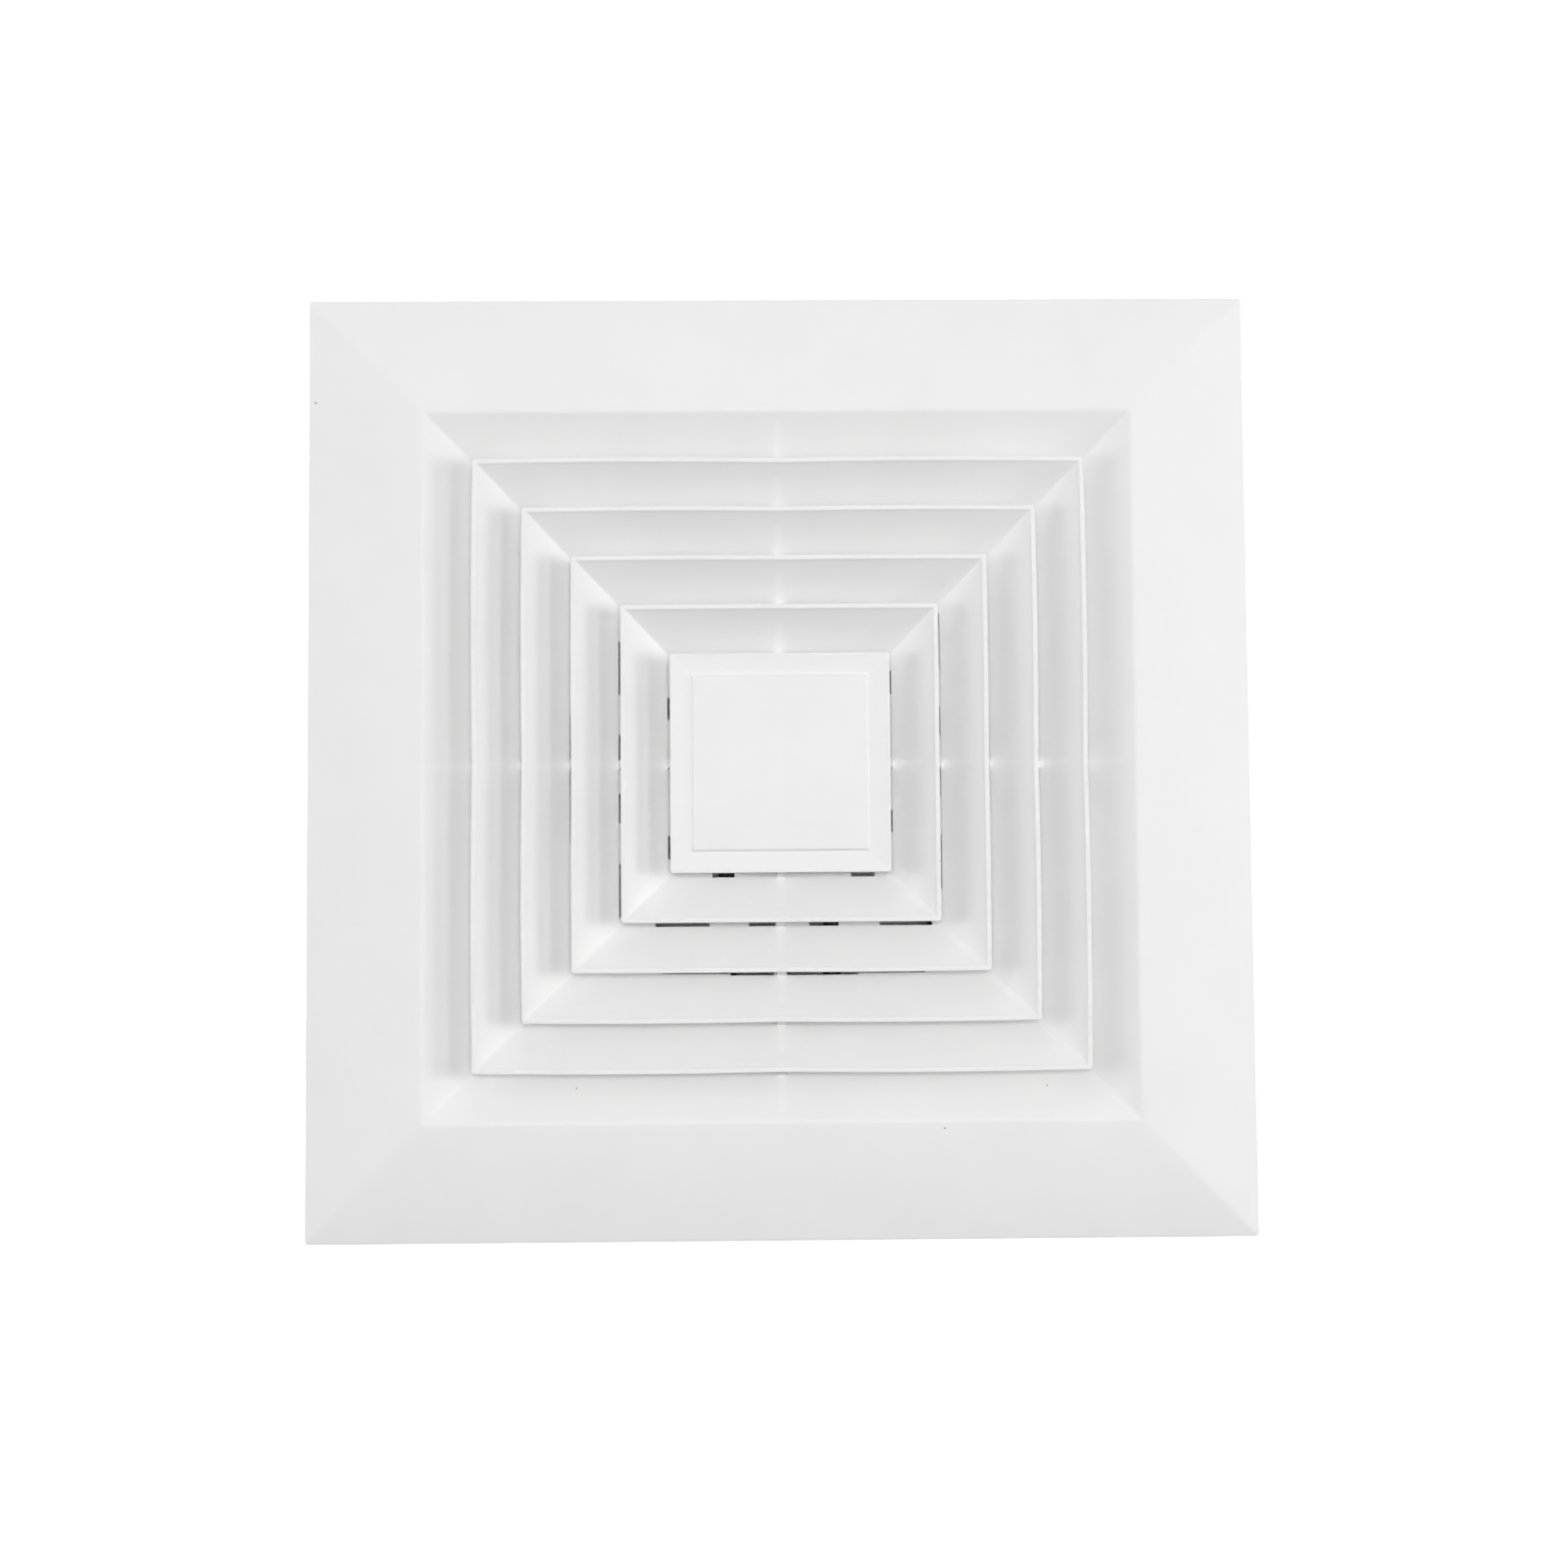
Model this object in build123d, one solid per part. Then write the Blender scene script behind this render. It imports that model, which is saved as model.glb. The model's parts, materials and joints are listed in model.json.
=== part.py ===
from build123d import *
from math import cos, hypot, pi, sin, sqrt, tan
import os

os.makedirs("parts", exist_ok=True)

# Square four-way ceiling diffuser with a lift-out louvre core and an opposed-blade damper.
# It lies on its back with its face up: +Z points out of the face.  In a ceiling, +Z points down
# into the room.  The origin is the middle of the plane where the border meets the ceiling.
# Sections are drawn as (distance from the middle, height) and run round the square with mitres.

# Face frame
face_size = 395.0  # outside of the border
rim_height = 3.0  # edge of the border
rim_land = 6.0  # flat band of the rim that bears on the ceiling
border_wall = 2.5
crest_height = 10.8  # where the border and the inner flare would meet without rounding
crest_radius = 4.0
neck_size = 296.0  # outside of the spigot, for a 300 mm duct
neck_wall = 2.5
neck_depth = 45.0  # spigot below the ceiling plane
crest_overhang = 0.2  # crest outside the spigot
cut_margin = 1.0  # how far a cut runs past the wall it opens

# Foam gasket under the border
gasket_width = 12.0
gasket_gap = 0.5  # from the rim land

# Louvre rings and centre cap
cap_size = 91.4
louvre_count = 4
lip_height = 13.0  # plane of all the lips
lip_width = 1.9
lip_step = 1.2  # drop from the lip to the flare
lip_bevel = 0.3
flare_wall = 1.9
throat_lap = 0.3  # each throat inside the next lip's edge
throat_height = -2.5  # foot of the flares
skirt_height = -10.0  # lower edge of the throat skirts
panel_size = 74.8  # raised panel of the cap
panel_height = 12.9
panel_bevel = 1.4
band_height = 11.9  # lowest line of the band round the panel
cap_lip = 1.1
cap_plate_height = 10.0  # underside of the cap's plate

# Snap windows in the throats, two to a side: ring number and (gap, width) of the left and right ones
web_windows = {2: ((3.0, 18.3), (14.8, 17.5))}  # gap from the middle of the side
corner_windows = {3: ((13.6, 22.7), (2.6, 22.4)), 4: ((17.1, 9.2), (6.2, 10.0))}  # from the next lip's corner
snap_pockets = {2: ((2.3, 12.5),), 3: ((-13.4, 11.1), (11.8, 12.4))}  # start along the side, width
pocket_floor = -5.5
window_reach = 1.9  # outside the next lip's edge, into the flare
window_top = 1.0

# Support arms and hub behind the rings
arm_thickness = 3.5
arm_bottom = -24.0
arm_seat = -22.0  # underside of the stepped arm ends
arm_seat_length = 8.6
arm_end_gap = 1.7  # from the frame's throat to the arm's end face
slide_gap = 0.4  # between the core and the frame's throat
web_foot = 2.0  # length of each web's foot on the flare outside it
web_top = 12.4  # where the webs meet the lips
hub_diameter = 18.0
hub_height = -6.0  # top of the hub
hub_core = 4.0  # radius left between the four slots
cap_boss_diameter = 9.0
cap_screw_diameter = 3.0
cap_screw_length = 26.0
cap_screw_head = (6.0, 2.0)  # diameter, height
screw_clearance = 0.4

# Seats of the core in the frame
ledge_width = 16.0
ledge_reach = 5.0
ledge_thickness = 2.0
ledge_gap = 0.3  # under the arm's seat

# Spring clips at the arm ends
clip_width = 8.0
clip_thickness = 0.4
clip_height = 10.0
clip_bow = 1.0
clip_seat_gap = 1.0  # from the arm's seat up to the clip
clip_tab = (10.0, 6.0)  # length along the arm, height
clip_rivet_diameter = 2.5
clip_rivet_head = (4.5, 0.8)
clip_rivet_inset = 5.6  # from the arm's end face

# Damper casing
casing_fit = 0.5  # between spigot and casing
casing_wall = 1.5
casing_top = -31.0
casing_bottom = -88.0
casing_flange = 6.0
neck_screw_spread = 180.0
neck_screw_height = -38.0
neck_screw_diameter = 4.0
neck_screw_head = (7.0, 1.8)
neck_screw_length = 5.5
duct_hole_diameter = 5.0
duct_hole_spread = 120.0
duct_hole_height = -24.0
bracket_leg = 18.0
bracket_wall = 1.2
bracket_top = -50.0
bracket_bottom = -84.0
bracket_rivet_diameter = 3.2
bracket_rivet_head = (6.0, 1.2)
bracket_rivet_tail = (5.0, 0.8)
bracket_rivet_heights = (-54.5, -79.0)
bracket_rivet_inset = 9.0  # from the casing's corner

# Damper blades
blade_count = 6
blade_axis_height = -58.0
blade_margin = 5.5  # between the casing and the outer blade's share
blade_gap = 0.3  # half the gap between closed blades
blade_thickness = 2.0
blade_tube_diameter = 8.0
pin_diameter = 5.0
pin_insert = 12.0  # depth of a pin in its blade
pin_setback = 0.2  # pin's end inside the casing's outer face
blade_front_gap = 2.3  # plain end of a blade to the casing
master_blade = 3
seal_leg = 8.0
seal_wall = 1.2
seal_gap = 0.9  # between seal and closed blade
seal_end_gap = 1.0  # from the gears

# Gears that turn neighbouring blades opposite ways
gear_teeth = 23
gear_width = 6.0
gear_hub_diameter = 9.0
gear_back_gap = 5.5  # gear's toothed part to the casing
gear_addendum = 0.9  # in modules
gear_dedendum = 1.25
gear_backlash = 0.3
pressure_angle = 20 * pi / 180
flank_points = 5
tongue_width = 24.0  # blade's end in its gear
tongue_depth = 2.0
key_fit = 0.05

# Nylon bushes
bush_diameter = 8.0
bush_flange = (11.0, 1.0)
bush_running_fit = 0.05
hub_end_gap = 0.3  # gear hub to the bush's flange

# Hand lever on the master blade
lever_width = 8.0
lever_thickness = 2.0
lever_place = -100.0  # along the blade
lever_foot = (6.0, 19.0)  # from the blade's axis
lever_neighbour_gap = 10.0  # lever's tip to the next blade's axis
lever_joggle = 1.0
lever_tab = 8.0
lever_rivet_diameter = 3.0
lever_rivet_head = (5.5, 1.2)
lever_rivet_places = (9.5, 15.5)

face_half = face_size / 2
neck_half = neck_size / 2
neck_inner = neck_half - neck_wall
crest_half = neck_half + crest_overhang
cap_half = cap_size / 2
pitch = (crest_half - cap_half) / (louvre_count + 1)
casing_half = neck_inner - casing_fit
casing_inner = casing_half - casing_wall
blade_pitch = 2 * (casing_inner - blade_margin) / blade_count
blade_half = blade_pitch / 2 - blade_gap
blade_front = -(casing_inner - blade_front_gap)
gear_back = casing_inner - gear_back_gap
gear_front = gear_back - gear_width
blade_back = gear_front + tongue_depth
lever_reach = blade_pitch - lever_neighbour_gap


def lip_half(ring):
    # Ring 0 is the frame's crest, and the ring after the last louvre is the cap.
    return crest_half - pitch * ring


def throat_half(ring):
    return lip_half(ring + 1) - throat_lap


def flare_slope():
    run = lip_half(1) - lip_width - lip_bevel - throat_half(1)
    return (lip_height - lip_step - throat_height) / run


def flare_under(ring, distance):
    # Height of the underside of a ring's flare.
    drop = flare_wall * sqrt(1 + flare_slope() ** 2)
    return throat_height + flare_slope() * (distance - throat_half(ring)) - drop


def section(points):
    return make_face(Plane.XZ * Polyline(*points, close=True))


def square_ring(profile):
    # One side of the square, cut to its mitres and turned to the four sides.
    reach = face_size
    side = extrude(profile, amount=reach, both=True)
    sector = make_face(Polyline((0, 0), (reach, reach), (reach, -reach), close=True))
    side = side & extrude(sector, reach, both=True)
    return side + Rot(0, 0, 90) * side + Rot(0, 0, 180) * side + Rot(0, 0, 270) * side


def four_turns(shape):
    return [Rot(0, 0, 90 * turn) * shape for turn in range(4)]


def box_between(low, high):
    size = [b - a for a, b in zip(low, high)]
    middle = [(a + b) / 2 for a, b in zip(low, high)]
    return Pos(*middle) * Box(*size)


def rod(start, direction, radius, length):
    # A cylinder from a start point along a direction.
    return Plane(origin=start, z_dir=direction) * extrude(Circle(radius), length)


def save(shape, name):
    solids = shape if isinstance(shape, list) else list(shape.solids())
    body = solids[0] if len(solids) == 1 else Compound(children=[Part() + solid for solid in solids])
    export_step(body, f"parts/{name}.step")
    print(name, len(solids), round(sum(solid.volume for solid in solids), 1))


def border_under(distance):
    slope = (crest_height - rim_height) / (face_half - crest_half)
    return rim_height + slope * (face_half - distance) - border_wall * sqrt(1 + slope**2)


def side_places(spread):
    return (-spread / 2, spread / 2)


def frame_flare(distance):
    # Height of the frame's own flare.
    slope = (crest_height - throat_height) / (crest_half - throat_half(0))
    return throat_height + slope * (distance - throat_half(0))


def face_frame():
    throat = throat_half(0)
    drop = flare_wall * hypot(1, frame_flare(throat + 1) - throat_height)
    inner_land = face_half - rim_land
    profile = section([
        (face_half, 0),
        (face_half, rim_height),
        (crest_half, crest_height),
        (throat, throat_height),
        (throat, skirt_height),
        (throat + flare_wall, skirt_height),
        (throat + flare_wall, frame_flare(throat + flare_wall) - drop),
        (neck_inner, frame_flare(neck_inner) - drop),
        (neck_inner, -neck_depth),
        (neck_half, -neck_depth),
        (neck_half, border_under(neck_half)),
        (inner_land, border_under(inner_land)),
        (inner_land, 0),
    ])
    crest = profile.vertices().sort_by(Axis.Z)[-1]
    frame = square_ring(fillet(crest, crest_radius))
    ledge_top = arm_seat - ledge_gap
    ledge_bottom = ledge_top - ledge_thickness
    half = ledge_width / 2
    hanger_top = throat_height - flare_wall
    hanger = box_between((throat, -half, ledge_bottom), (throat + flare_wall, half, hanger_top))
    ledge = box_between((throat - ledge_reach, -half, ledge_bottom), (throat, half, ledge_top))
    for seat in four_turns(hanger + ledge):
        frame += seat
    hole_length = neck_wall + 2 * cut_margin
    for along in side_places(neck_screw_spread):
        start = (neck_inner - cut_margin, along, neck_screw_height)
        hole = rod(start, (1, 0, 0), (neck_screw_diameter + screw_clearance) / 2, hole_length)
        for turned in four_turns(hole):
            frame -= turned
    for along in side_places(duct_hole_spread):
        start = (neck_inner - cut_margin, along, duct_hole_height)
        hole = rod(start, (1, 0, 0), duct_hole_diameter / 2, hole_length)
        for turned in four_turns(hole):
            frame -= turned
    return frame


def foam_gasket():
    outer = face_half - rim_land - gasket_gap
    inner = outer - gasket_width
    return square_ring(section([
        (inner, 0),
        (outer, 0),
        (outer, border_under(outer)),
        (inner, border_under(inner)),
    ]))


def flare_outside(ring):
    # The underside of a ring, from its lip to the lower edge of its skirt.
    lip = lip_half(ring)
    throat = throat_half(ring)
    return [
        (lip, lip_height),
        (lip, flare_under(ring, lip)),
        (throat + flare_wall, flare_under(ring, throat + flare_wall)),
        (throat + flare_wall, skirt_height),
        (throat, skirt_height),
        (throat, throat_height),
    ]


def window_spans(ring):
    # Starts and ends along the front side, from left to right.
    spans = []
    if ring in web_windows:
        (left_gap, left_width), (right_gap, right_width) = web_windows[ring]
        spans += [(-left_gap - left_width, -left_gap), (right_gap, right_gap + right_width)]
    if ring in corner_windows:
        corner = lip_half(ring + 1)
        (left_gap, left_width), (right_gap, right_width) = corner_windows[ring]
        spans.append((left_gap - corner, left_gap + left_width - corner))
        spans.append((corner - right_gap - right_width, corner - right_gap))
    return spans


def louvre_ring(ring):
    lip = lip_half(ring)
    throat = throat_half(ring)
    ring_solid = square_ring(section(flare_outside(ring) + [
        (lip - lip_width - lip_bevel, lip_height - lip_step),
        (lip - lip_width, lip_height),
    ]))
    outer = lip_half(ring + 1) + window_reach
    inner = throat - cut_margin
    cuts = [(start, end, skirt_height - cut_margin) for start, end in window_spans(ring)]
    cuts += [(start, start + width, pocket_floor) for start, width in snap_pockets.get(ring, ())]
    for start, end, floor in cuts:
        for turned in four_turns(box_between((start, -outer, floor), (end, -inner, window_top))):
            ring_solid -= turned
    return ring_solid


def centre_cap():
    ring = louvre_count + 1
    throat = throat_half(ring)
    run = (cap_plate_height - throat_height) / flare_slope()
    panel_half = panel_size / 2
    cap = square_ring(section(flare_outside(ring) + [
        (throat + run, cap_plate_height),
        (0, cap_plate_height),
        (0, panel_height),
        (panel_half, panel_height),
        (panel_half + panel_bevel, band_height),
        (cap_half - cap_lip, lip_height),
    ]))
    boss_height = cap_plate_height - hub_height
    cap += rod((0, 0, hub_height), (0, 0, 1), cap_boss_diameter / 2, boss_height)
    pilot_depth = arm_bottom + cap_screw_length - hub_height
    cap -= rod((0, 0, hub_height), (0, 0, 1), cap_screw_diameter / 2, pilot_depth)
    return cap


def support_arm():
    # A comb on edge: it rises to the underside of each flare and is notched for each skirt.
    end = throat_half(0) - arm_end_gap
    outline = [
        (hub_core, hub_height),
        (hub_core, arm_bottom),
        (end - arm_seat_length, arm_bottom),
        (end - arm_seat_length, arm_seat),
        (end, arm_seat),
        (end, skirt_height),
        (throat_half(0) - slide_gap, skirt_height),
        (throat_half(0) - slide_gap, throat_height + slide_gap),
        (throat_half(0) + web_foot, frame_flare(throat_half(0) + web_foot) + 2 * slide_gap),
    ]
    for ring in range(1, louvre_count + 2):
        lip = lip_half(ring)
        throat = throat_half(ring)
        outline += [
            (lip, web_top),
            (lip, flare_under(ring, lip)),
            (throat + flare_wall, flare_under(ring, throat + flare_wall)),
            (throat + flare_wall, skirt_height),
            (throat, skirt_height),
        ]
        if ring <= louvre_count:
            foot_height = throat_height + flare_slope() * web_foot
            outline += [(throat, throat_height), (throat + web_foot, foot_height)]
    outline.append((throat_half(louvre_count + 1), hub_height))
    arm = extrude(section(outline), arm_thickness / 2, both=True)
    return arm - rod(*clip_rivet_axis(), clip_rivet_diameter / 2, arm_thickness)


def clip_rivet_axis():
    end = throat_half(0) - arm_end_gap
    return (end - clip_rivet_inset, -arm_thickness / 2, clip_middle()), (0, 1, 0)


def clip_middle():
    return arm_seat + clip_seat_gap + clip_height / 2


def core_hub():
    height = hub_height - arm_bottom
    hub = rod((0, 0, arm_bottom), (0, 0, 1), hub_diameter / 2, height)
    slot = box_between(
        (hub_core, -arm_thickness / 2, arm_bottom),
        (hub_diameter, arm_thickness / 2, hub_height),
    )
    for turned in four_turns(slot):
        hub -= turned
    return hub - rod((0, 0, arm_bottom), (0, 0, 1), cap_screw_diameter / 2 + screw_clearance / 2, height)


def headed_pin(start, direction, radius, length, head):
    # A head whose face sits at the start, and a shank from there along the direction.
    backward = tuple(-value for value in direction)
    shank = rod(start, direction, radius, length)
    crown = rod(start, backward, head[0] / 2, head[1])
    rim = crown.edges().group_by(Axis(start, backward))[-1]
    return shank + fillet(rim, head[1] / 2)


def cap_screw():
    start = (0, 0, arm_bottom)
    return headed_pin(start, (0, 0, 1), cap_screw_diameter / 2, cap_screw_length, cap_screw_head)


def spring_clip():
    # A leaf on the arm's end with a bowed face, and a tab riveted to the arm's side.
    end = throat_half(0) - arm_end_gap
    middle = clip_middle()
    half = clip_height / 2
    crown = half / 4
    bowed = end + clip_thickness
    bow = section([
        (end, middle - half),
        (bowed, middle - half),
        (bowed + clip_bow, middle - crown),
        (bowed + clip_bow, middle + crown),
        (bowed, middle + half),
        (end, middle + half),
        (end, middle + half - clip_thickness),
        (end + clip_bow, middle + crown - clip_thickness / 2),
        (end + clip_bow, middle - crown + clip_thickness / 2),
        (end, middle - half + clip_thickness),
    ])
    leaf = extrude(bow, clip_width / 2, both=True)
    side = arm_thickness / 2
    length, height = clip_tab
    tab_low = (end - length, side, middle - height / 2)
    tab = box_between(tab_low, (bowed, side + clip_thickness, middle + height / 2))
    foot = box_between(
        (end, -clip_width / 2, middle - half),
        (end + clip_thickness / 2, clip_width / 2, middle + half),
    )
    start, direction = clip_rivet_axis()
    clip = leaf + foot + tab
    return clip - rod(start, direction, clip_rivet_diameter / 2, arm_thickness + clip_thickness)


def clip_rivet():
    start, direction = clip_rivet_axis()
    length = arm_thickness + clip_thickness
    rivet = headed_pin(start, direction, clip_rivet_diameter / 2, length, clip_rivet_head)
    far = (start[0], start[1] + length, start[2])
    return rivet + rod(far, direction, clip_rivet_head[0] / 2, clip_rivet_head[1])


def blade_axes():
    return [blade_pitch * (number - (blade_count - 1) / 2) for number in range(blade_count)]


def bracket_rivet_starts():
    # Outside the bracket's leg on the casing's right side, near its back corner.
    along = casing_half - bracket_rivet_inset
    return [(casing_half + bracket_wall, along, height) for height in bracket_rivet_heights]


def bracket_rivet():
    rivets = []
    length = bracket_wall + casing_wall
    for start in bracket_rivet_starts():
        rivet = headed_pin(start, (-1, 0, 0), bracket_rivet_diameter / 2, length, bracket_rivet_head)
        tail = (start[0] - length, start[1], start[2])
        rivets.append(rivet + rod(tail, (-1, 0, 0), bracket_rivet_tail[0] / 2, bracket_rivet_tail[1]))
    return rivets


def mirrored_corners(shapes):
    # From one leg of one corner to both legs of all four corners.
    both = shapes + [mirror(shape, Plane(origin=(0, 0, 0), z_dir=(1, -1, 0))) for shape in shapes]
    return [Rot(0, 0, 90 * turn) * shape for turn in range(4) for shape in both]


def casing_side(long_side):
    # The right side; front and back sides fit between the left and right ones.
    half = casing_half if long_side else casing_inner
    side = box_between((casing_inner, -half, casing_bottom), (casing_half, half, casing_top))
    flange_half = casing_inner if long_side else casing_inner - casing_flange
    side += box_between(
        (casing_inner - casing_flange, -flange_half, casing_bottom),
        (casing_inner, flange_half, casing_bottom + casing_wall),
    )
    hole_depth = casing_wall + 2 * cut_margin
    for along in side_places(neck_screw_spread):
        hole_start = (casing_inner - cut_margin, along, neck_screw_height)
        side -= rod(hole_start, (1, 0, 0), neck_screw_diameter / 2, hole_depth)
    for start in bracket_rivet_starts():
        for along in (start[1], -start[1]):
            hole_start = (casing_inner - cut_margin, along, start[2])
            side -= rod(hole_start, (1, 0, 0), bracket_rivet_diameter / 2, hole_depth)
    if not long_side:
        for along in blade_axes():
            hole_start = (casing_inner - cut_margin, along, blade_axis_height)
            side -= rod(hole_start, (1, 0, 0), bush_diameter / 2, hole_depth)
    return side


def corner_bracket():
    outer = casing_half + bracket_wall
    inner = casing_half - bracket_leg
    leg = box_between((casing_half, inner, bracket_bottom), (outer, outer, bracket_top))
    other = box_between((inner, casing_half, bracket_bottom), (outer, outer, bracket_top))
    bracket = leg + other
    for start in bracket_rivet_starts():
        hole_start = (casing_half - cut_margin, start[1], start[2])
        hole = rod(hole_start, (1, 0, 0), bracket_rivet_diameter / 2, bracket_wall + 2 * cut_margin)
        bracket -= hole
        bracket -= mirror(hole, Plane(origin=(0, 0, 0), z_dir=(1, -1, 0)))
    return bracket


def neck_screws():
    screws = []
    for along in side_places(neck_screw_spread):
        start = (neck_half, along, neck_screw_height)
        radius = neck_screw_diameter / 2
        screws.append(headed_pin(start, (-1, 0, 0), radius, neck_screw_length, neck_screw_head))
    return [turned for screw in screws for turned in four_turns(screw)]


def seal_strip():
    # An angle inside the casing's right side that the outer blade closes against.
    edge = blade_axes()[-1] + blade_half + seal_gap
    front = blade_front
    back = gear_front - seal_end_gap
    middle = blade_axis_height
    half = seal_wall / 2
    blade_leg = box_between((edge, front, middle - half), (casing_inner, back, middle + half))
    wall_low = (casing_inner - seal_wall, front, middle - seal_leg)
    wall_leg = box_between(wall_low, (casing_inner, back, middle))
    return blade_leg + wall_leg


def bush(side):
    # side is 1 at the gear end and -1 at the plain end.
    inner = side * casing_inner
    start = (0, side * casing_half, blade_axis_height)
    direction = (0, -side, 0)
    body = rod(start, direction, bush_diameter / 2, casing_wall)
    body += rod((0, inner, blade_axis_height), direction, bush_flange[0] / 2, bush_flange[1])
    return body - rod(start, direction, pin_diameter / 2 + bush_running_fit, casing_wall + bush_flange[1])


def damper_blade():
    half = blade_thickness / 2
    low = (-half, blade_front, blade_axis_height - blade_half)
    blade = box_between(low, (half, gear_front, blade_axis_height + blade_half))
    blade += box_between(
        (-half, gear_front, blade_axis_height - tongue_width / 2),
        (half, blade_back, blade_axis_height + tongue_width / 2),
    )
    start = (0, blade_front, blade_axis_height)
    blade += rod(start, (0, 1, 0), blade_tube_diameter / 2, blade_back - blade_front)
    blade -= rod(start, (0, 1, 0), pin_diameter / 2, pin_insert)
    return blade - rod((0, blade_back, blade_axis_height), (0, -1, 0), pin_diameter / 2, pin_insert)


def blade_pins():
    tip = casing_half - pin_setback
    front = rod((0, -tip, blade_axis_height), (0, 1, 0), pin_diameter / 2, tip + blade_front + pin_insert)
    back = rod((0, tip, blade_axis_height), (0, -1, 0), pin_diameter / 2, tip - blade_back + pin_insert)
    return [front, back]


def tooth_flank(module):
    # Involute points (radius, angle from the tooth's middle) from the root to the tip.
    pitch_radius = module * gear_teeth / 2
    base = pitch_radius * cos(pressure_angle)
    tip = pitch_radius + gear_addendum * module
    root = pitch_radius - gear_dedendum * module
    half_tooth = pi / (2 * gear_teeth) - gear_backlash / (4 * pitch_radius)
    base_angle = half_tooth + tan(pressure_angle) - pressure_angle
    points = [(root, base_angle)]
    for step in range(flank_points + 1):
        radius = base + (tip - base) * step / flank_points
        roll = sqrt(max(radius**2 / base**2 - 1, 0))
        points.append((radius, base_angle - (roll - atan_of(roll))))
    return points


def atan_of(value):
    # Angle whose tangent is value.
    return Vector(1, value, 0).get_angle(Vector(1, 0, 0)) * pi / 180


def blade_gear():
    module = blade_pitch / gear_teeth
    flank = tooth_flank(module)
    outline = []
    for tooth in range(gear_teeth):
        middle = 2 * pi * tooth / gear_teeth
        polar = [(radius, middle - angle) for radius, angle in flank]
        polar += [(radius, middle + angle) for radius, angle in reversed(flank)]
        outline += [(radius * cos(angle), radius * sin(angle)) for radius, angle in polar]
    face = make_face(Polyline(*outline, close=True))
    place = Plane(origin=(0, gear_front, blade_axis_height), x_dir=(1, 0, 0), z_dir=(0, 1, 0))
    gear = place * extrude(face, gear_width)
    start = (0, gear_front, blade_axis_height)
    hub_end = casing_inner - bush_flange[1] - hub_end_gap
    gear += rod(start, (0, 1, 0), gear_hub_diameter / 2, hub_end - gear_front)
    half = blade_thickness / 2 + key_fit
    tongue = tongue_width / 2 + key_fit
    gear -= box_between(
        (-half, gear_front, blade_axis_height - tongue),
        (half, blade_back, blade_axis_height + tongue),
    )
    gear -= rod(start, (0, 1, 0), blade_tube_diameter / 2 + key_fit, tongue_depth)
    return gear - rod(start, (0, 1, 0), pin_diameter / 2, hub_end - gear_front)


def lever_rivet_starts():
    face = -blade_thickness / 2 - lever_thickness
    return [(face, lever_place, blade_axis_height + place) for place in lever_rivet_places]


def damper_lever():
    near = -blade_thickness / 2
    far = near - lever_thickness
    foot, bend = lever_foot
    bend_top = bend + lever_joggle * 2
    outline = [
        (near, foot),
        (near, bend),
        (near - lever_joggle, bend_top),
        (near - lever_joggle, lever_reach),
        (far - lever_joggle - lever_tab, lever_reach),
        (far - lever_joggle - lever_tab, lever_reach - lever_thickness),
        (far - lever_joggle, lever_reach - lever_thickness),
        (far - lever_joggle, bend_top),
        (far, bend),
        (far, foot),
    ]
    bar = extrude(section(outline), lever_width / 2, both=True)
    lever = Pos(0, lever_place, blade_axis_height) * bar
    for start in lever_rivet_starts():
        lever -= rod(start, (1, 0, 0), lever_rivet_diameter / 2, lever_thickness)
    return lever


def lever_rivet(start):
    length = lever_thickness + blade_thickness
    rivet = headed_pin(start, (1, 0, 0), lever_rivet_diameter / 2, length, lever_rivet_head)
    far = (start[0] + length, start[1], start[2])
    return rivet + rod(far, (1, 0, 0), lever_rivet_head[0] / 2, lever_rivet_head[1])


# Frame and gasket
save(face_frame(), "face_frame")
save(foam_gasket(), "foam_gasket")

# Louvre core
for ring_number in range(1, louvre_count + 1):
    save(louvre_ring(ring_number), f"louvre_ring_{ring_number}")
save(centre_cap(), "centre_cap")
save(core_hub(), "core_hub")
save(cap_screw(), "cap_screw")
for turn_name, arm in zip(("right", "back", "left", "front"), four_turns(support_arm())):
    save(arm, f"support_arm_{turn_name}")
save(four_turns(spring_clip()), "spring_clips")
save(four_turns(clip_rivet()), "clip_rivets")

# Damper casing
save(casing_side(True), "casing_side_right")
save(Rot(0, 0, 180) * casing_side(True), "casing_side_left")
save(Rot(0, 0, 90) * casing_side(False), "casing_side_back")
save(Rot(0, 0, 270) * casing_side(False), "casing_side_front")
save(four_turns(corner_bracket()), "corner_brackets")
save(mirrored_corners(bracket_rivet()), "bracket_rivets")
save(neck_screws(), "neck_screws")
save(seal_strip(), "seal_strip_right")
save(mirror(seal_strip(), Plane.YZ), "seal_strip_left")
save([Pos(axis, 0, 0) * bush(side) for axis in blade_axes() for side in (-1, 1)], "blade_bushes")

# Damper blades
for number, axis in enumerate(blade_axes(), start=1):
    place = Pos(axis, 0, 0)
    blade = place * damper_blade()
    if number == master_blade:
        for start in lever_rivet_starts():
            hole = rod(start, (1, 0, 0), lever_rivet_diameter / 2, lever_thickness + blade_thickness)
            blade -= place * hole
        save(place * damper_lever(), "damper_lever")
        save([place * lever_rivet(start) for start in lever_rivet_starts()], "lever_rivets")
    save(blade, f"damper_blade_{number}")
    save([place * pin for pin in blade_pins()], f"blade_pins_{number}")
    save(place * blade_gear(), f"blade_gear_{number}")
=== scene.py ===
import bpy
import bmesh
import json
import math
from mathutils import Matrix, Vector


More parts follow.
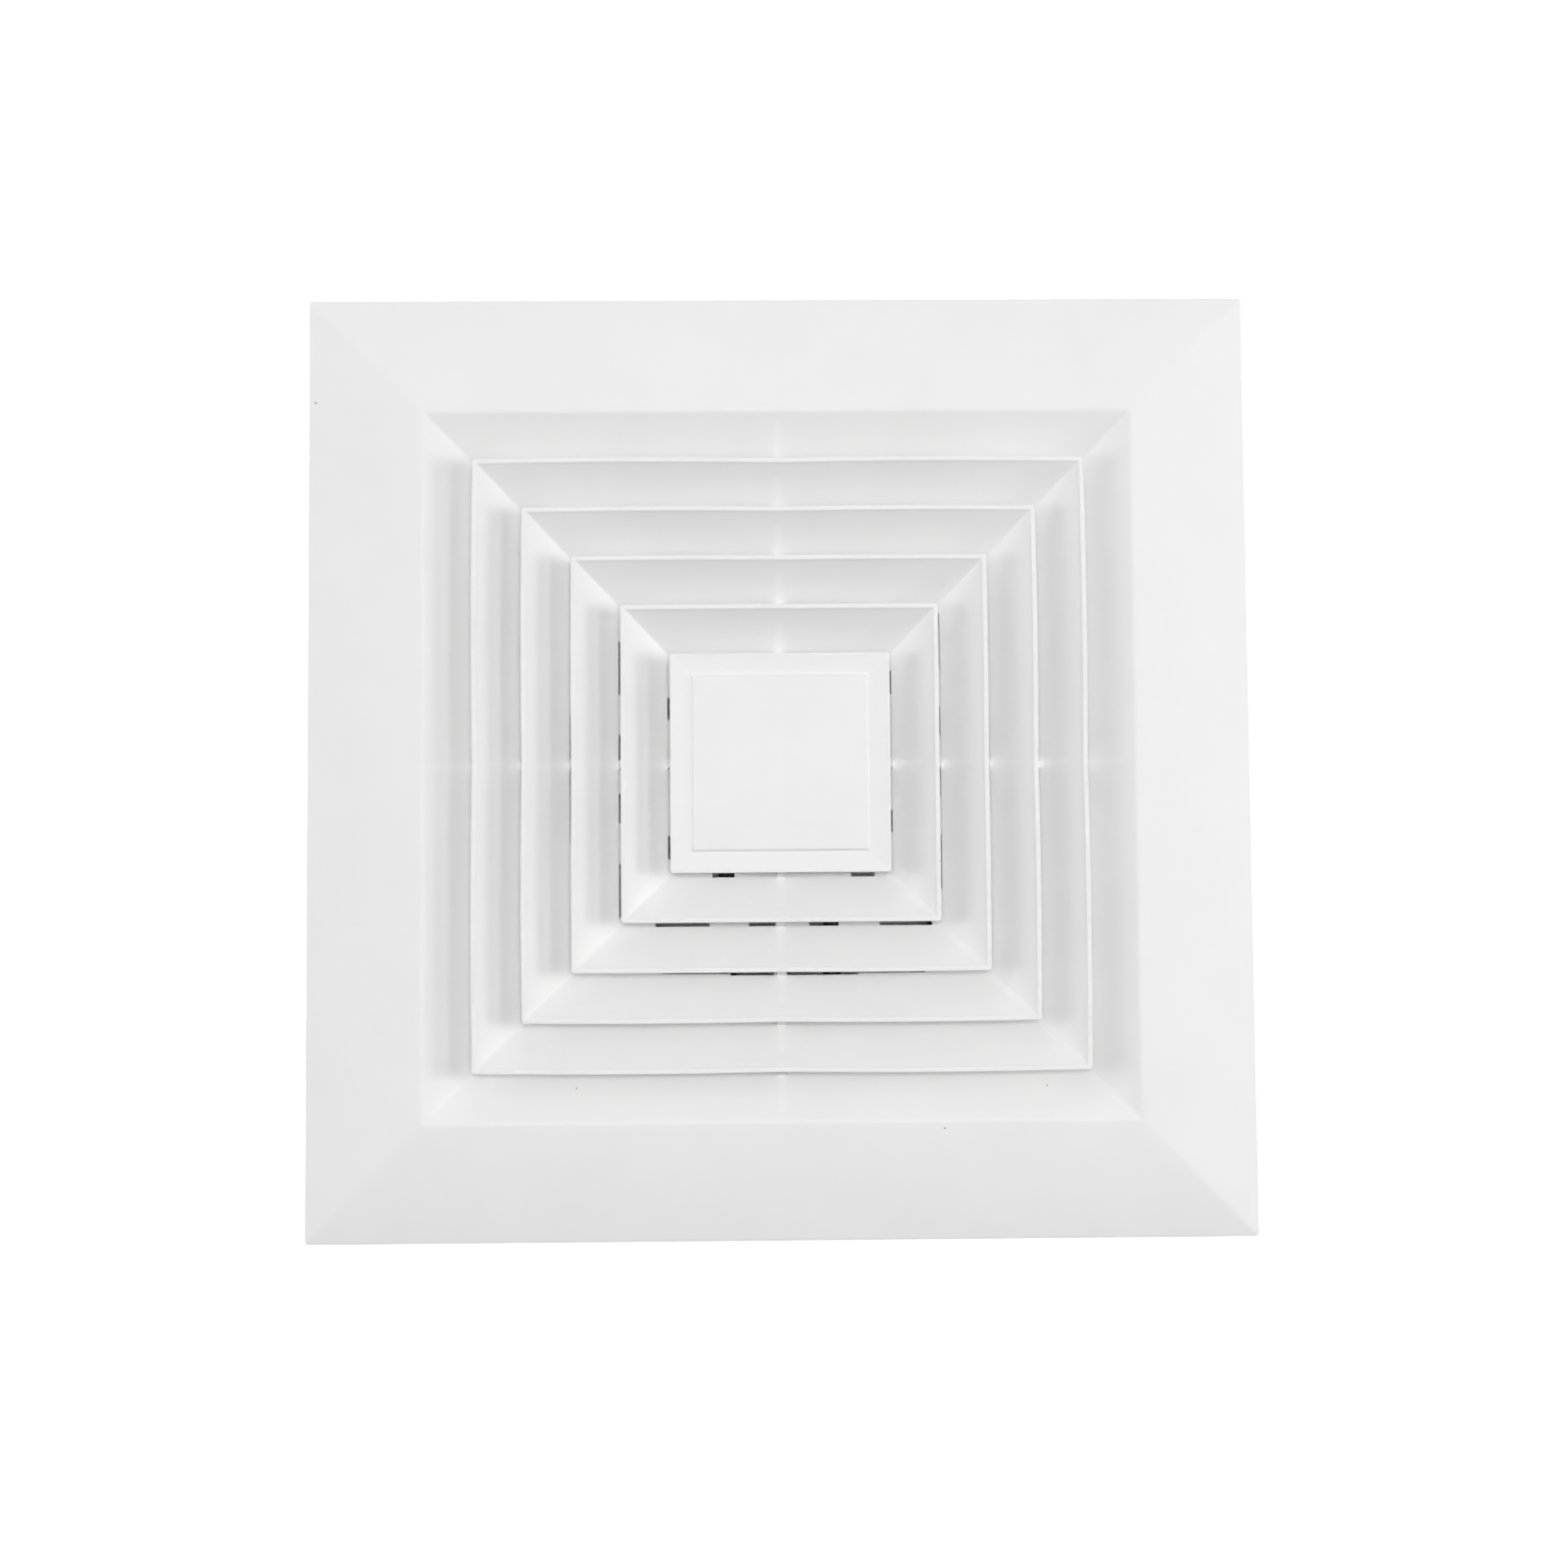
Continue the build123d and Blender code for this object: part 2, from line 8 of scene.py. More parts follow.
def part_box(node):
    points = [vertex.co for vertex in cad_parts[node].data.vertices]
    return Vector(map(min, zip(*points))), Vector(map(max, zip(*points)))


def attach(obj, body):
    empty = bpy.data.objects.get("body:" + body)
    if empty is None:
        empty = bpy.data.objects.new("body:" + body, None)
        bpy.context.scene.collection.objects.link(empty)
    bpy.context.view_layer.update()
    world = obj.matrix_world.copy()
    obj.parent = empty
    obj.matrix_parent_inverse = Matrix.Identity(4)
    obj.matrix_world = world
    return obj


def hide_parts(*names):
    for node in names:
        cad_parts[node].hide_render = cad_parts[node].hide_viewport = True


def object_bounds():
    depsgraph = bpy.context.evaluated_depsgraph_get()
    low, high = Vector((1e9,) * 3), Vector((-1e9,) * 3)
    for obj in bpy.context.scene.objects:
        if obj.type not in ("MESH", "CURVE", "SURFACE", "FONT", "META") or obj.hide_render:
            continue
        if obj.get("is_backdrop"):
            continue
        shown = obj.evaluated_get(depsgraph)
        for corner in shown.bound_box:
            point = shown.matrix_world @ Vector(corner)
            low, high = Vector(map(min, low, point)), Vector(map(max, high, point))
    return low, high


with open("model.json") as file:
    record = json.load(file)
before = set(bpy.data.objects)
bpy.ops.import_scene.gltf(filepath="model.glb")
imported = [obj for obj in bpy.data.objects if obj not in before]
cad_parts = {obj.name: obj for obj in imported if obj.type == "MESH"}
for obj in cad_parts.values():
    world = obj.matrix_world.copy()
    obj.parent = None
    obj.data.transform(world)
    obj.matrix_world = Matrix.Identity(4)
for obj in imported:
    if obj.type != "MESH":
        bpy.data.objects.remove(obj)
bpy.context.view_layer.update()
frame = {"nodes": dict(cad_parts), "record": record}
mm = 0.001


def span(node):  # lowest and highest corner of a CAD node, in millimetres
    low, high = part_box(node)
    return [value / mm for value in low], [value / mm for value in high]


def meshFrom(name, shape, sharpAngle=32):
    bmesh.ops.recalc_face_normals(shape, faces=shape.faces)
    mesh = bpy.data.meshes.new(name)
    shape.to_mesh(mesh)
    shape.free()
    mesh.shade_smooth()
    mesh.set_sharp_from_angle(angle=math.radians(sharpAngle))
    return mesh


helpers = []


def helperObject(name, mesh):  # never rendered, only fed to a tree
    made = bpy.data.objects.new(name, mesh)
    bpy.context.scene.collection.objects.link(made)
    helpers.append(made)
    return made


def roundedOutline(corners, closed=True, steps=4):
    # corners: (distance, height, fillet, corner radius in plan, share of the bow)
    outline = []
    count = len(corners)
    for index, (distance, height, fillet, radius, bow) in enumerate(corners):
        atEnd = not closed and index in (0, count - 1)
        if not fillet or atEnd:
            outline.append((distance, height, radius, bow))
            continue
        here = Vector((distance, height))
        before = Vector(corners[index - 1][:2]) - here
        after = Vector(corners[(index + 1) % count][:2]) - here
        half = before.angle(after) / 2
        reach = min(fillet / math.tan(half), before.length * 0.49, after.length * 0.49)
        size = reach * math.tan(half)
        centre = here + (before.normalized() + after.normalized()).normalized() * size / math.sin(half)
        first = here + before.normalized() * reach - centre
        last = here + after.normalized() * reach - centre
        start = math.atan2(first.y, first.x)
        turn = (math.atan2(last.y, last.x) - start + math.pi) % (2 * math.pi) - math.pi
        for step in range(steps + 1):
            angle = start + turn * step / steps
            point = centre + Vector((math.cos(angle), math.sin(angle))) * size
            outline.append((point.x, point.y, radius, bow))
    return outline


def sidePath(distance, radius, bow, cuts):
    # From corner to corner along the right side, half of each corner's arc included.
    inner = distance - radius
    arcSteps = 4
    arc = [math.radians(45 * step / arcSteps) for step in range(arcSteps + 1)]
    path = [(inner + radius * math.cos(angle), -inner - radius * math.sin(angle)) for angle in reversed(arc)]
    for cut in range(1, cuts):
        along = -inner + 2 * inner * cut / cuts
        path.append((distance + bow * math.sin(math.pi * min(abs(along) / inner, 1)), along))
    path += [(inner + radius * math.cos(angle), inner + radius * math.sin(angle)) for angle in arc]
    return path


def sideOf(name, outline, closed=True, cuts=28):
    # One side of a square ring: the outline swept from mitre to mitre.
    shape = bmesh.new()
    rows = []
    for distance, height, radius, bow in outline:
        if distance <= 0:
            rows.append([shape.verts.new((0, 0, height * mm))])
            continue
        points = sidePath(distance, min(radius, distance * 0.5), bow, cuts)
        rows.append([shape.verts.new((x * mm, y * mm, height * mm)) for x, y in points])
    following = rows[1:] + (rows[:1] if closed else [])
    for near, far in zip(rows, following):
        for index in range(max(len(near), len(far)) - 1):
            ring = [near[min(index, len(near) - 1)], near[min(index + 1, len(near) - 1)]]
            ring += [far[min(index + 1, len(far) - 1)], far[min(index, len(far) - 1)]]
            face = list(dict.fromkeys(ring))
            if len(face) > 2:
                shape.faces.new(face)
    mesh = bpy.data.meshes.new(name)
    shape.to_mesh(mesh)
    shape.free()
    return helperObject(name, mesh)


def boxInto(shape, low, high, bevel=0.0):
    made = bmesh.ops.create_cube(shape, size=1)["verts"]
    for vertex in made:
        vertex.co = Vector([(a + b) / 2 + c * (b - a) for a, b, c in zip(low, high, vertex.co)]) * mm
    if bevel:
        edges = {edge for vertex in made for edge in vertex.link_edges}
        bmesh.ops.bevel(shape, geom=list(edges), offset=bevel * mm, segments=2, affect="EDGES", profile=0.5)


def rodInto(shape, middle, direction, radius, length, sides=32):
    turn = Vector((0, 0, 1)).rotation_difference(Vector(direction)).to_matrix().to_4x4()
    place = Matrix.Translation(Vector(middle) * mm) @ turn
    bmesh.ops.create_cone(shape, cap_ends=True, segments=sides, radius1=radius * mm, radius2=radius * mm,
                          depth=length * mm, matrix=place)


def piece(name, mesh, body, slot, *nodes):
    made = bpy.data.objects.new(name, mesh)
    bpy.context.scene.collection.objects.link(made)
    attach(made, body)
    if nodes:
        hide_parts(*nodes)
    return made


class Wire:  # a shader socket that takes arithmetic
    def __init__(self, finish, socket):
        self.finish = finish
        self.socket = socket

    def math(self, operation, first, second):
        return self.finish.node("ShaderNodeMath", {"operation": operation}, {0: first, 1: second})

    def __add__(self, other):
        return self.math("ADD", self, other)

    def __radd__(self, other):
        return self.math("ADD", other, self)

    def __sub__(self, other):
        return self.math("SUBTRACT", self, other)

    def __rsub__(self, other):
        return self.math("SUBTRACT", other, self)

    def __mul__(self, other):
        return self.math("MULTIPLY", self, other)

    def __rmul__(self, other):
        return self.math("MULTIPLY", other, self)

    def __abs__(self):
        return self.math("ABSOLUTE", self, 0.0)

    def __lt__(self, other):
        return self.math("LESS_THAN", self, other)

    def smaller(self, other):
        return self.math("MINIMUM", self, other)

    def larger(self, other):
        return self.math("MAXIMUM", self, other)


class Finish:  # a material while it is being wired
    def __init__(self, name, **constants):
        self.material = bpy.data.materials.new(name)
        self.material.use_nodes = True
        self.tree = self.material.node_tree
        self.shader = self.tree.nodes["Principled BSDF"]
        for socket, value in constants.items():
            self.shader.inputs[socket.replace("_", " ")].default_value = value
        self.place = self.node("ShaderNodeTexCoord", output="Object")

    def node(self, kind, settings=None, values=None, output=0):
        made = self.tree.nodes.new(kind)
        for key, value in (settings or {}).items():
            if key == "stops":
                while len(made.color_ramp.elements) < len(value):
                    made.color_ramp.elements.new(1)
                for element, (position, tone) in zip(made.color_ramp.elements, value):
                    element.position = position
                    element.color = (tone, tone, tone, 1)
            else:
                setattr(made, key, value)
        for key, value in (values or {}).items():
            if isinstance(value, Wire):
                self.tree.links.new(value.socket, made.inputs[key])
            else:
                made.inputs[key].default_value = value
        return Wire(self, made.outputs[output])

    def feed(self, socket, wire):
        self.tree.links.new(wire.socket, self.shader.inputs[socket])

    def noise(self, scale, detail=2.0, roughness=0.5):
        values = {"Vector": self.place, "Scale": scale, "Detail": detail, "Roughness": roughness}
        return self.node("ShaderNodeTexNoise", {}, values)

    def specks(self, scale, size, share):
        # Small round marks in a share of the cells.
        settings = {"voronoi_dimensions": "3D", "feature": "F1"}
        values = {"Vector": self.place, "Scale": scale, "Randomness": 1.0}
        distance = self.node("ShaderNodeTexVoronoi", settings, values, "Distance")
        colour = self.node("ShaderNodeTexVoronoi", settings, values, "Color")
        chosen = self.node("ShaderNodeSeparateColor", {}, {"Color": colour}) < share
        return (distance < size) * chosen

    def ramp(self, value, *stops):
        return self.node("ShaderNodeValToRGB", {"stops": stops}, {"Fac": value})

    def mix(self, share, first, second):
        return self.node("ShaderNodeMix", {"data_type": "RGBA"}, {0: share, 6: first, 7: second}, 2)

    def axes(self):
        parts = self.tree.nodes.new("ShaderNodeSeparateXYZ")
        self.tree.links.new(self.place.socket, parts.inputs[0])
        return [Wire(self, socket) for socket in parts.outputs]

    def bump(self, height, strength, distance, under=None):
        values = {"Height": height, "Strength": strength, "Distance": distance}
        if under:
            values["Normal"] = under
        return self.node("ShaderNodeBump", {}, values, "Normal")


def whitePlastic():
    look = {
        "light": (0.878, 0.878, 0.876, 1), "shade": (0.860, 0.860, 0.858, 1), "dust": (0.42, 0.41, 0.39, 1),
        # colour, height limit, reach and share of the painted highlight streaks over the webs behind the
        # louvres
        "web": (0.94, 0.94, 0.94, 1), "websBelow": 0.0085, "websWithin": 0.145, "webShare": 0.3,
    }
    finish = Finish("whitePlastic", Specular_IOR_Level=0.14)
    x, y, z = finish.axes()
    mottle = finish.ramp(finish.noise(26, 4, 0.6), (0.35, 0.0), (0.68, 1.0))
    colour = finish.mix(mottle, look["light"], look["shade"])
    dust = finish.specks(46, 0.022, 0.12)
    finish.feed("Roughness", finish.noise(90, 3) * 0.12 + 0.48)
    grain = finish.noise(2600, 2, 0.6)
    swell = finish.noise(34, 1, 0.4)
    nearest = abs(x).smaller(abs(y))
    farthest = abs(x).larger(abs(y))
    sink = finish.ramp(nearest * 250, (0.0, 0.0), (0.55, 0.75), (1.0, 1.0))
    # Painted highlight: lighter streaks along the mid-sides where the webs behind show through the louvres,
    # not on the lips, the cap or the border.
    webHighlightMask = (1 - finish.ramp(nearest * 400, (0.0, 0.0), (1.0, 1.0))) * (z < look["websBelow"])
    webHighlightMask = webHighlightMask * (farthest < look["websWithin"]) * look["webShare"]
    finish.feed("Base Color", finish.mix(dust, finish.mix(webHighlightMask, colour, look["web"]), look["dust"]))
    fine = finish.bump(grain, 0.10, 0.00004)
    slow = finish.bump(swell, 0.30, 0.0012, fine)
    finish.feed("Normal", finish.bump(sink, 0.5, 0.00008, slow))
    return finish.material


def gasketFoam():
    finish = Finish("gasketFoam", Roughness=0.92, Specular_IOR_Level=0.2)
    cells = finish.node("ShaderNodeTexVoronoi", {}, {"Vector": finish.place, "Scale": 1500.0}, "Distance")
    finish.feed("Base Color", finish.mix(finish.ramp(cells, (0.2, 0.0), (0.7, 1.0)),
                                         (0.018, 0.018, 0.020, 1), (0.060, 0.060, 0.064, 1)))
    finish.feed("Normal", finish.bump(cells, 0.8, 0.0004))
    return finish.material


def blackSheet():
    finish = Finish("blackSheet")
    peel = finish.noise(900, 2, 0.55)
    cloud = finish.ramp(finish.noise(18, 4, 0.6), (0.35, 0.0), (0.7, 1.0))
    dust = finish.ramp(finish.noise(240, 5, 0.7), (0.58, 0.0), (0.80, 1.0)) * 0.25
    base = finish.mix(cloud, (0.016, 0.016, 0.017, 1), (0.027, 0.027, 0.029, 1))
    finish.feed("Base Color", finish.mix(dust, base, (0.16, 0.155, 0.15, 1)))
    finish.feed("Roughness", cloud * 0.12 + 0.42)
    finish.feed("Normal", finish.bump(peel, 0.35, 0.00012))
    return finish.material


def blackPlastic():
    finish = Finish("blackPlastic")
    base = finish.mix(finish.noise(60, 3), (0.012, 0.012, 0.013, 1), (0.024, 0.024, 0.025, 1))
    finish.feed("Base Color", base)
    finish.feed("Roughness", finish.noise(120, 2) * 0.08 + 0.42)
    finish.feed("Normal", finish.bump(finish.noise(1200, 1), 0.06, 0.00003))
    return finish.material


def nylon():
    finish = Finish("nylon", Subsurface_Weight=0.1, Subsurface_Scale=0.002)
    base = finish.mix(finish.noise(150, 3), (0.66, 0.63, 0.56, 1), (0.73, 0.71, 0.65, 1))
    finish.feed("Base Color", base)
    finish.feed("Roughness", finish.noise(200, 2) * 0.2 + 0.32)
    finish.feed("Normal", finish.bump(finish.noise(1500, 2), 0.2, 0.00005))
    return finish.material


def bareMetal(name, dark, light, roughness, scale):
    finish = Finish(name, Metallic=1.0)
    cloud = finish.noise(scale, 5, 0.65)
    finish.feed("Base Color", finish.mix(finish.ramp(cloud, (0.3, 0.0), (0.7, 1.0)), dark, light))
    finish.feed("Roughness", finish.noise(scale * 3, 3) * 0.22 + roughness)
    finish.feed("Normal", finish.bump(finish.noise(scale * 8, 2), 0.25, 0.00005))
    return finish.material


finishes = {
    "white_plastic": whitePlastic(),
    "gasket_foam": gasketFoam(),
    "black_sheet": blackSheet(),
    "black_plastic": blackPlastic(),
    "nylon": nylon(),
    "screw_steel": bareMetal("zincSteel", (0.50, 0.50, 0.51, 1), (0.66, 0.66, 0.67, 1), 0.24, 160),
    "spring_steel": bareMetal("springSteel", (0.36, 0.35, 0.34, 1), (0.47, 0.46, 0.45, 1), 0.22, 140),
    "rivet_metal": bareMetal("rivetAluminium", (0.58, 0.58, 0.59, 1), (0.72, 0.72, 0.73, 1), 0.26, 220),
}
print("materials ready:", len(finishes))


def newTree(name, sizes):
    # A geometry tree with named number inputs; returns it and its group input and output.
    tree = bpy.data.node_groups.new(name, "GeometryNodeTree")
    tree.interface.new_socket("Geometry", in_out="INPUT", socket_type="NodeSocketGeometry")
    tree.interface.new_socket("Geometry", in_out="OUTPUT", socket_type="NodeSocketGeometry")
    for label, value in sizes.items():
        kind = {int: "NodeSocketInt", float: "NodeSocketFloat"}.get(type(value))
        if kind is None:
            kind = "NodeSocketMaterial" if isinstance(value, bpy.types.Material) else "NodeSocketObject"
        tree.interface.new_socket(label, in_out="INPUT", socket_type=kind)
    return tree, tree.nodes.new("NodeGroupInput"), tree.nodes.new("NodeGroupOutput")


def wired(tree, kind, settings=None, **values):
    made = tree.nodes.new(kind)
    for key, value in (settings or {}).items():
        setattr(made, key, value)
    for key, value in values.items():
        socket = made.inputs[key.replace("_", " ")]
        if isinstance(value, bpy.types.NodeSocket):
            tree.links.new(value, socket)
        else:
            socket.default_value = value
    return made


def bake(name, host, tree, sizes, sharpAngle=32):
    # Runs a tree on a host object and returns the result as a plain mesh.
    modifier = host.modifiers.new("tree", "NODES")
    modifier.node_group = tree
    for item in tree.interface.items_tree:
        if item.in_out == "INPUT" and item.name in sizes:
            modifier[item.identifier] = sizes[item.name]
    graph = bpy.context.evaluated_depsgraph_get()
    result = bpy.data.meshes.new_from_object(host.evaluated_get(graph))
    host.modifiers.remove(modifier)
    shape = bmesh.new()
    shape.from_mesh(result)
    bmesh.ops.remove_doubles(shape, verts=shape.verts, dist=0.000002)
    bmesh.ops.recalc_face_normals(shape, faces=shape.faces)
    shape.to_mesh(result)
    shape.free()
    result.name = name
    result.shade_smooth()
    result.set_sharp_from_angle(angle=math.radians(sharpAngle))
    return result


def turnedAbout(tree, geometry, turns, first=None):
    # Copies of a geometry turned evenly about the vertical axis, from a first angle on.
    line = wired(tree, "GeometryNodeMeshLine", Count=turns, Offset=(0, 0, 0))
    index = wired(tree, "GeometryNodeInputIndex")
    share = tree.nodes.new("ShaderNodeMath")
    share.operation = "DIVIDE"
    share.inputs[0].default_value = 2 * math.pi
    tree.links.new(turns, share.inputs[1])
    angle = tree.nodes.new("ShaderNodeMath")
    angle.operation = "MULTIPLY"
    tree.links.new(index.outputs[0], angle.inputs[0])
    tree.links.new(share.outputs[0], angle.inputs[1])
    if first:
        onward = tree.nodes.new("ShaderNodeMath")
        tree.links.new(angle.outputs[0], onward.inputs[0])
        tree.links.new(first, onward.inputs[1])
        angle = onward
    turn = tree.nodes.new("ShaderNodeCombineXYZ")
    tree.links.new(angle.outputs[0], turn.inputs[2])
    copies = tree.nodes.new("GeometryNodeInstanceOnPoints")
    tree.links.new(line.outputs[0], copies.inputs["Points"])
    tree.links.new(geometry, copies.inputs["Instance"])
    tree.links.new(turn.outputs[0], copies.inputs["Rotation"])
    real = tree.nodes.new("GeometryNodeRealizeInstances")
    tree.links.new(copies.outputs[0], real.inputs[0])
    return real.outputs[0]


def cutFrom(tree, solid, cuts, selfTouching=False):
    opened = tree.nodes.new("GeometryNodeMeshBoolean")
    opened.operation = "DIFFERENCE"
    opened.solver = "EXACT"
    opened.inputs["Self Intersection"].default_value = selfTouching
    tree.links.new(solid, opened.inputs[0])
    tree.links.new(cuts, opened.inputs[1])
    return opened.outputs[0]


def objectIn(tree, start, label):
    return wired(tree, "GeometryNodeObjectInfo", Object=start.outputs[label]).outputs["Geometry"]


def endTree(tree, geometry, start, end):
    real = wired(tree, "GeometryNodeRealizeInstances", Geometry=geometry)
    shown = wired(tree, "GeometryNodeSetMaterial", Geometry=real.outputs[0], Material=start.outputs["Finish"])
    tree.links.new(shown.outputs[0], end.inputs[0])
    return tree


def ringTree(name, withCuts, withFittings, sizes):
    # One side in, the whole square ring out, its windows or holes cut and its fittings added.
    tree, start, end = newTree(name, sizes)
    sides = turnedAbout(tree, start.outputs["Geometry"], start.outputs["Turns"])
    merged = wired(tree, "GeometryNodeMergeByDistance", Geometry=sides, Distance=start.outputs["Merge"])
    solid = merged.outputs[0]
    if withCuts:
        cuts = turnedAbout(tree, objectIn(tree, start, "Cuts"), start.outputs["Turns"])
        solid = cutFrom(tree, solid, cuts, selfTouching=True)
    if withFittings:
        extra = turnedAbout(tree, objectIn(tree, start, "Fittings"), start.outputs["Turns"])
        joined = tree.nodes.new("GeometryNodeJoinGeometry")
        tree.links.new(extra, joined.inputs[0])
        tree.links.new(solid, joined.inputs[0])
        solid = joined.outputs[0]
    return endTree(tree, solid, start, end)


def squareRing(name, side, finish, cuts=None, fittings=None):
    sizes = {"Turns": 4, "Merge": 0.000004, "Finish": finish}
    if cuts:
        sizes["Cuts"] = cuts
    if fittings:
        sizes["Fittings"] = fittings
    tree = ringTree(name + "Tree", bool(cuts), bool(fittings), sizes)
    return bake(name, side, tree, sizes)


frameSizes = {
    "rimHeight": 3.0, "rimRound": 0.9, "rimCorner": 1.4,
    "crestHeight": 10.8, "crestRound": 3.4, "crestCorner": 1.2,
    "wall": 2.5, "flareWall": 1.9, "throatHeight": -2.5, "neckWall": 2.5, "land": 6.0, "overhang": 0.2,
    "ledgeWidth": 16.0, "ledgeReach": 5.0, "ledgeThick": 2.0, "ledgeLow": -24.3, "ledgeTop": -3.6,
    "neckLow": -45.0, "screwSpread": 180.0, "screwHeight": -38.0,
    "ductSpread": 120.0, "ductHeight": -24.0, "ductHole": 5.0, "screwHole": 4.4,
}
faceHigh = span("face_frame")[1]
capHigh = span("centre_cap")[1][0]
outerLip = span("louvre_ring_1")[1][0]
lipTop = span("louvre_ring_1")[1][2]
skirtLow = span("louvre_ring_1")[0][2]
pitch = (outerLip - capHigh) / 4
throatLap = 0.3


def lipHalf(ring):
    return outerLip + pitch * (1 - ring)


def throatHalf(ring):
    return lipHalf(ring + 1) - throatLap


def borderUnder(size, distance):  # height of the border's underside
    slope = (size["crestHeight"] - size["rimHeight"]) / (faceHigh[0] - lipHalf(0))
    return size["rimHeight"] + slope * (faceHigh[0] - distance) - size["wall"] * math.hypot(1, slope)


def faceFrame(size):
    neckHalf = lipHalf(0) - size["overhang"]
    neckInner = neckHalf - size["neckWall"]
    throat = throatHalf(0)
    flare = (size["crestHeight"] - size["throatHeight"]) / (lipHalf(0) - throat)
    drop = size["flareWall"] * math.hypot(1, flare)

    def onFlare(distance):
        return size["throatHeight"] + flare * (distance - throat)

    land = faceHigh[0] - size["land"]
    corner = size["rimCorner"]
    outline = roundedOutline([
        (faceHigh[0], 0, 0.4, corner, 0),
        (faceHigh[0], size["rimHeight"], size["rimRound"], corner, 0),
        (lipHalf(0), size["crestHeight"], size["crestRound"], size["crestCorner"], 0),
        (throat, size["throatHeight"], 0.6, 0.5, 0),
        (throat, skirtLow, 0.3, 0.5, 0),
        (throat + size["flareWall"], skirtLow, 0.3, 0.8, 0),
        (throat + size["flareWall"], onFlare(throat + size["flareWall"]) - drop, 0.5, 0.8, 0),
        (neckInner, onFlare(neckInner) - drop, 0.5, 1.0, 0),
        (neckInner, size["neckLow"], 0.4, 1.5, 0),
        (neckHalf, size["neckLow"], 0.4, 3.0, 0),
        (neckHalf, borderUnder(size, neckHalf), 1.0, 3.0, 0),
        (land, borderUnder(size, land), 0.4, 1.2, 0),
        (land, 0, 0.4, 1.2, 0),
    ])
    side = sideOf("frameSide", outline)
    fittings = bmesh.new()
    half = size["ledgeWidth"] / 2
    low, top = size["ledgeLow"], size["ledgeTop"]
    reach, overlap = size["ledgeReach"], 0.9
    boxInto(fittings, (throat, -half, low), (throat + size["flareWall"], half, top), 0.4)
    boxInto(fittings, (throat - reach, -half, low), (throat + overlap, half, low + size["ledgeThick"]), 0.4)
    cuts = bmesh.new()
    for sign in (-1, 1):
        rodInto(cuts, (neckHalf - 1, sign * size["ductSpread"] / 2, size["ductHeight"]), (1, 0, 0),
                size["ductHole"] / 2, 6)
        rodInto(cuts, (neckHalf - 1, sign * size["screwSpread"] / 2, size["screwHeight"]), (1, 0, 0),
                size["screwHole"] / 2, 6)
    mesh = squareRing("faceFrame", side, finishes["white_plastic"],
                      helperObject("frameCuts", meshFrom("frameCuts", cuts)),
                      helperObject("frameFittings", meshFrom("frameFittings", fittings)))
    return piece("faceFrame", mesh, "frame", "white_plastic", "face_frame")


faceFrame(frameSizes)
print("face frame done")


gasketSizes = {"width": 12.0, "round": 0.8, "corner": 2.0}


def foamGasket(size):
    outer = span("foam_gasket")[1][0]
    inner = outer - size["width"]
    outline = roundedOutline([
        (inner, 0, size["round"], size["corner"], 0),
        (outer, 0, size["round"], size["corner"], 0),
        (outer, borderUnder(frameSizes, outer), 0.2, size["corner"], 0),
        (inner, borderUnder(frameSizes, inner), 0.2, size["corner"], 0),
    ])
    mesh = squareRing("foamGasket", sideOf("gasketSide", outline), finishes["gasket_foam"])
    return piece("foamGasket", mesh, "frame", "gasket_foam", "foam_gasket")


foamGasket(gasketSizes)
print("gasket done")


louvreSizes = {
    "lipWidth": 1.9, "lipBevel": 0.5, "lipStep": 0.65, "wall": 1.9, "throatHeight": -2.5, "lipRound": 0.42,
    "corner": 1.2, "hollow": 0.15, "windowReach": 1.5, "windowTop": 1.0,
    "bows": {1: 0.55, 2: 0.4, 3: 0.15, 4: 0.0},
    "webWindows": {2: ((3.0, 18.3), (14.8, 17.5))},
    "cornerWindows": {3: ((13.6, 22.7), (2.6, 22.4)), 4: ((17.1, 9.2), (6.2, 10.0))},
    "pockets": {2: ((2.3, 12.7),), 3: ((-13.4, 11.1), (11.8, 12.4))}, "pocketFloor": -16.0,
    "slits": {2: ((-50.0, 28.9), (32.1, 27.9))}, "slitReach": 0.8,
}


def flareSlope(size):
    run = lipHalf(1) - size["lipWidth"] - size["lipBevel"] - throatHalf(1)
    return (lipTop - size["lipStep"] - size["throatHeight"]) / run


def flareUnder(size, ring, distance):
    slope = flareSlope(size)
    return size["throatHeight"] + slope * (distance - throatHalf(ring)) - size["wall"] * math.hypot(1, slope)


def flareOutside(size, ring, bow, lipFillet):
    lip, throat = lipHalf(ring), throatHalf(ring)
    foot = throat + size["wall"]
    return [
        (lip, lipTop, lipFillet, size["corner"], bow),
        (lip, flareUnder(size, ring, lip), 0.4, size["corner"], bow),
        (foot, flareUnder(size, ring, foot), 0.6, 0.9, 0),
        (foot, skirtLow, 0.3, 0.9, 0),
        (throat, skirtLow, 0.3, 0.5, 0),
        (throat, size["throatHeight"], 0.5, 0.5, 0),
    ]


def windowSpans(size, ring):
    spans = []
    if ring in size["webWindows"]:
        (leftGap, leftWidth), (rightGap, rightWidth) = size["webWindows"][ring]
        spans += [(-leftGap - leftWidth, -leftGap), (rightGap, rightGap + rightWidth)]
    if ring in size["cornerWindows"]:
        corner = lipHalf(ring + 1)
        (leftGap, leftWidth), (rightGap, rightWidth) = size["cornerWindows"][ring]
        spans += [(leftGap - corner, leftGap + leftWidth - corner),
                  (corner - rightGap - rightWidth, corner - rightGap)]
    return spans


